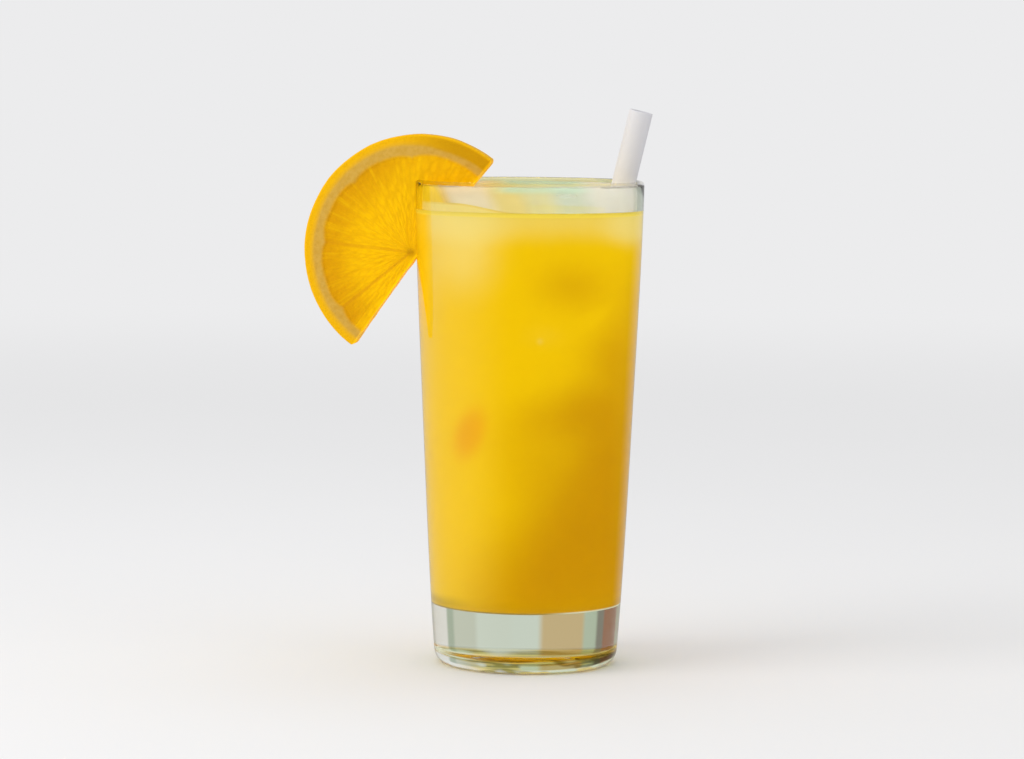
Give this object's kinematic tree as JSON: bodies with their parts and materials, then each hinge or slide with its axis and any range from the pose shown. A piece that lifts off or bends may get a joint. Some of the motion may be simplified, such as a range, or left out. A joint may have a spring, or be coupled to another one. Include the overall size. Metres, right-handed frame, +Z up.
{
  "type": "glass of orange cocktail",
  "caption": "Tall clear glass on a thick solid base, filled nearly to its rim with cloudy orange cocktail, with a half wheel of orange slit over the rim and a white straw leaning in it.",
  "frame": {"origin": "middle of the glass's flat foot, on the glass's axis", "axes": "+Z up along the glass's axis; +X to the side where the straw leans on the rim, and -X to the side where the orange hangs; -Y towards the viewer of the shown side"},
  "size_m": [0.106, 0.07, 0.17],
  "materials": {
    "clear_glass": "clear polished soda-lime glass with a faint green tint in the thick base",
    "orange_drink": "opaque cloudy liquid, deep yellow orange with paler cloudy patches",
    "orange_fruit": "moist cut fruit: translucent yellow orange flesh in segments, pale tan pith, dimpled waxy peel",
    "white_straw": "satin white drinking straw"
  },
  "bodies": {
    "root": {"glass": "clear_glass", "drink": "orange_drink", "orange_slice": "orange_fruit", "straw": "white_straw"}
  },
  "joints": []
}
